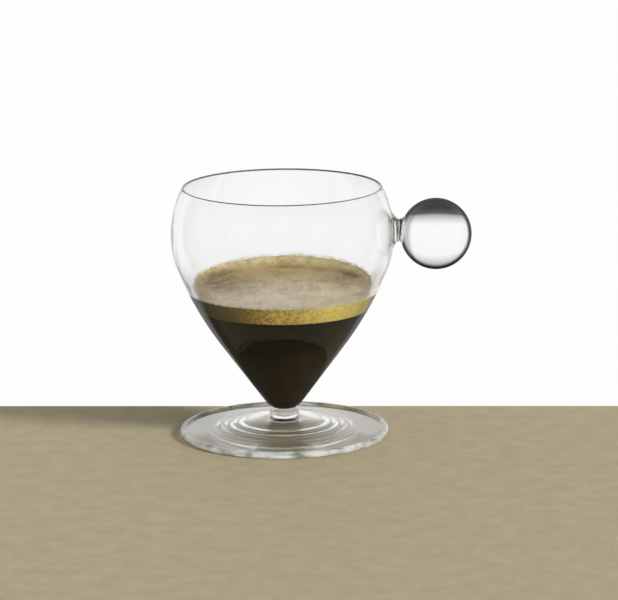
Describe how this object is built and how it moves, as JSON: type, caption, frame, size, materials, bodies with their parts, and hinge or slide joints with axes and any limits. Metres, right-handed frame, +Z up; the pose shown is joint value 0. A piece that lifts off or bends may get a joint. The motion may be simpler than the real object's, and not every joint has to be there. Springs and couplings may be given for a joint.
{
  "type": "espresso cup",
  "caption": "Clear lamp-worked glass cup: conical bowl with rounded shoulder on a knop and rippled foot, glass ball on a short neck as handle, holding espresso under crema.",
  "frame": {"origin": "centre of the foot's rest ring, on the table", "axes": "+Z up along the cup's axis, +X from the axis towards the handle's ball"},
  "size_m": [0.0856, 0.0636, 0.0721],
  "materials": {
    "clear_glass": "clear, fire-polished, gloss",
    "espresso": "dark liquid, wet against the glass",
    "crema": "fine foam, matt, streaked tan and gold"
  },
  "bodies": {
    "root": {"foot": "clear_glass", "stem_knop": "clear_glass", "bowl": "clear_glass", "handle_boss": "clear_glass", "handle_neck": "clear_glass", "handle_ball": "clear_glass", "coffee": "espresso", "crema": "crema"}
  },
  "joints": []
}
